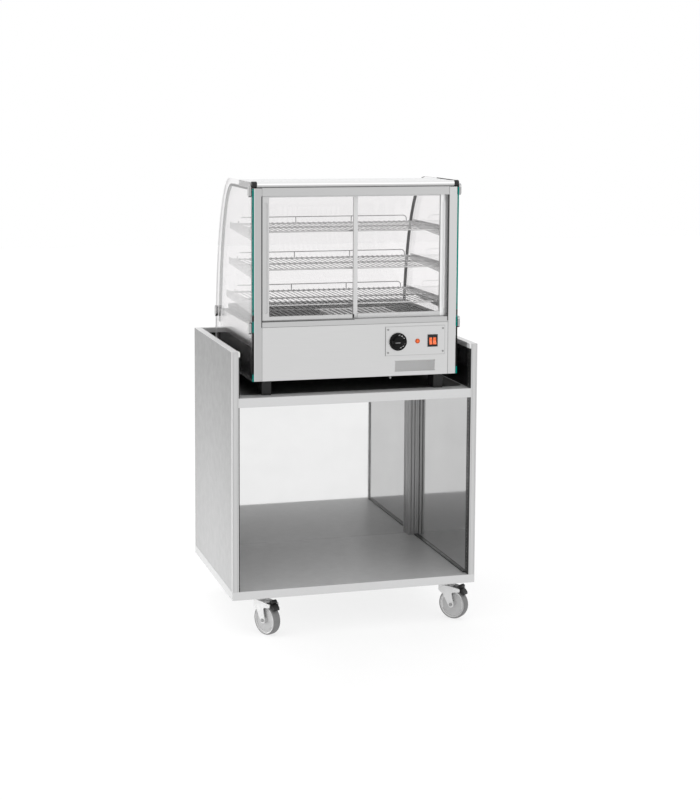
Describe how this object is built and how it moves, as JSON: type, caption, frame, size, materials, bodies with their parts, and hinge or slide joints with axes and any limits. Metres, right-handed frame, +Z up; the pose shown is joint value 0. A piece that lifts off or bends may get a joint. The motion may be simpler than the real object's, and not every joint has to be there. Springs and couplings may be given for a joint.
{
  "type": "mobile serving counter",
  "caption": "Wheeled serving counter with an open storage bay and a recess that holds a heated glass food display with sliding doors and wire shelves.",
  "frame": {"origin": "on the floor under the middle of the counter", "axes": "+Z up; the service side with the sliding doors and the controls faces -Y, the customer side with the curved glass faces +Y; +X is to the right for the person serving"},
  "size_m": [0.82, 0.6281, 1.464],
  "materials": {
    "grey_laminate": "light grey laminate on board, satin",
    "anodised": "clear anodised, satin",
    "mirror_lining": "polished sheet",
    "black_gloss": "gloss black sheet",
    "white_plastic": "moulded, satin",
    "black_plastic": "moulded, satin",
    "grey_plastic": "moulded, satin",
    "steel": "fine satin stainless steel",
    "white_enamel": "white enamel, gloss",
    "wire": "chrome-plated wire",
    "fastener": "zinc-plated",
    "chrome": "polished plating",
    "glass": "clear toughened glass, green at the edge",
    "seal": "extruded, matt",
    "orange_lens": "lit orange lens",
    "zinc": "bright zinc-plated pressed steel",
    "tyre_grey": "grey non-marking rubber",
    "hub_grey": "moulded grey centre"
  },
  "bodies": {
    "counter": {"base_deck": "grey_laminate", "side_panel_left": "grey_laminate", "side_panel_right": "grey_laminate", "customer_panel": "grey_laminate", "upper_shelf": "grey_laminate", "edge_profiles": "anodised", "bay_linings": "mirror_lining", "recess_linings": "black_gloss", "corner_posts": "anodised", "rim_profiles": "anodised", "rim_end_caps": "white_plastic", "trim_strips": "black_plastic", "caster_plates": "zinc", "caster_bolts": "fastener", "display_housing": "steel", "fascia_panel": "steel", "control_plate": "steel", "control_screws": "fastener", "thermostat": "black_plastic", "pilot_lamp": "orange_lens", "rocker_frame": "black_plastic", "display_feet": "black_plastic", "door_posts": "anodised", "header_rail": "anodised", "sill_track": "anodised", "side_glass_left": "glass", "side_glass_right": "glass", "curved_glass": "glass", "glass_seals": "seal", "roof_panel": "steel", "roof_tube": "white_enamel", "roof_end_caps": "black_plastic", "glass_clips": "chrome", "shelf_brackets": "steel", "wire_shelves": "wire", "guard_rails": "wire", "floor_grille": "steel", "bonding_screw": "fastener", "cable_gland": "grey_plastic"},
    "door_left": {"door_left_frame": "anodised", "door_left_glass": "glass"},
    "door_right": {"door_right_frame": "anodised", "door_right_glass": "glass"},
    "knob": {"thermostat_knob": "black_plastic"},
    "rocker_left": {"rocker_left": "orange_lens"},
    "rocker_right": {"rocker_right": "orange_lens"},
    "pedal_front_left": {"pedal_front_left": "black_plastic"},
    "pedal_front_right": {"pedal_front_right": "black_plastic"},
    "caster_front_left": {"fork_front_left": "zinc"},
    "wheel_front_left": {"tyre_front_left": "tyre_grey", "hub_front_left": "hub_grey"},
    "caster_front_right": {"fork_front_right": "zinc"},
    "wheel_front_right": {"tyre_front_right": "tyre_grey", "hub_front_right": "hub_grey"},
    "caster_rear_left": {"fork_rear_left": "zinc"},
    "wheel_rear_left": {"tyre_rear_left": "tyre_grey", "hub_rear_left": "hub_grey"},
    "caster_rear_right": {"fork_rear_right": "zinc"},
    "wheel_rear_right": {"tyre_rear_right": "tyre_grey", "hub_rear_right": "hub_grey"}
  },
  "joints": [
    {"name": "door_left_slide", "type": "slide", "parent": "counter", "child": "door_left", "axis": [1, 0, 0], "range_m": [0, 0.318]},
    {"name": "door_right_slide", "type": "slide", "parent": "counter", "child": "door_right", "axis": [-1, 0, 0], "range_m": [0, 0.308]},
    {"name": "thermostat_turn", "type": "hinge", "parent": "counter", "child": "knob", "pos_m": [0.1395, -0.2945, 0.9435], "axis": [0, 1, 0], "range_deg": [0, 290]},
    {"name": "rocker_left_tilt", "type": "hinge", "parent": "counter", "child": "rocker_left", "pos_m": [0.2506, -0.2905, 0.9435], "axis": [1, 0, 0], "range_deg": [0, 16]},
    {"name": "rocker_right_tilt", "type": "hinge", "parent": "counter", "child": "rocker_right", "pos_m": [0.2644, -0.2905, 0.9435], "axis": [1, 0, 0], "range_deg": [0, 16]},
    {"name": "swivel_front_left", "type": "hinge", "parent": "counter", "child": "caster_front_left", "pos_m": [-0.303, -0.234, 0.111], "axis": [0, 0, 1], "continuous": true},
    {"name": "wheel_front_left_roll", "type": "hinge", "parent": "caster_front_left", "child": "wheel_front_left", "pos_m": [-0.28657, -0.2649, 0.05], "axis": [0.8829, 0.4695, 0], "continuous": true},
    {"name": "brake_front_left", "type": "hinge", "parent": "caster_front_left", "child": "pedal_front_left", "pos_m": [-0.27483, -0.28698, 0.103], "axis": [0.8829, 0.4695, 0], "range_deg": [0, 10]},
    {"name": "swivel_front_right", "type": "hinge", "parent": "counter", "child": "caster_front_right", "pos_m": [0.331, -0.234, 0.111], "axis": [0, 0, 1], "continuous": true},
    {"name": "wheel_front_right_roll", "type": "hinge", "parent": "caster_front_right", "child": "wheel_front_right", "pos_m": [0.35396, -0.26042, 0.05], "axis": [0.7547, 0.6561, 0], "continuous": true},
    {"name": "brake_front_right", "type": "hinge", "parent": "caster_front_right", "child": "pedal_front_right", "pos_m": [0.37036, -0.27928, 0.103], "axis": [0.7547, 0.6561, 0], "range_deg": [0, 10]},
    {"name": "swivel_rear_left", "type": "hinge", "parent": "counter", "child": "caster_rear_left", "pos_m": [-0.303, 0.234, 0.111], "axis": [0, 0, 1], "continuous": true},
    {"name": "wheel_rear_left_roll", "type": "hinge", "parent": "caster_rear_left", "child": "wheel_rear_left", "pos_m": [-0.28821, 0.26572, 0.05], "axis": [-0.9063, 0.4226, 0], "continuous": true},
    {"name": "swivel_rear_right", "type": "hinge", "parent": "counter", "child": "caster_rear_right", "pos_m": [0.331, 0.234, 0.111], "axis": [0, 0, 1], "continuous": true},
    {"name": "wheel_rear_right_roll", "type": "hinge", "parent": "caster_rear_right", "child": "wheel_rear_right", "pos_m": [0.35701, 0.25742, 0.05], "axis": [-0.6691, 0.7431, 0], "continuous": true}
  ]
}
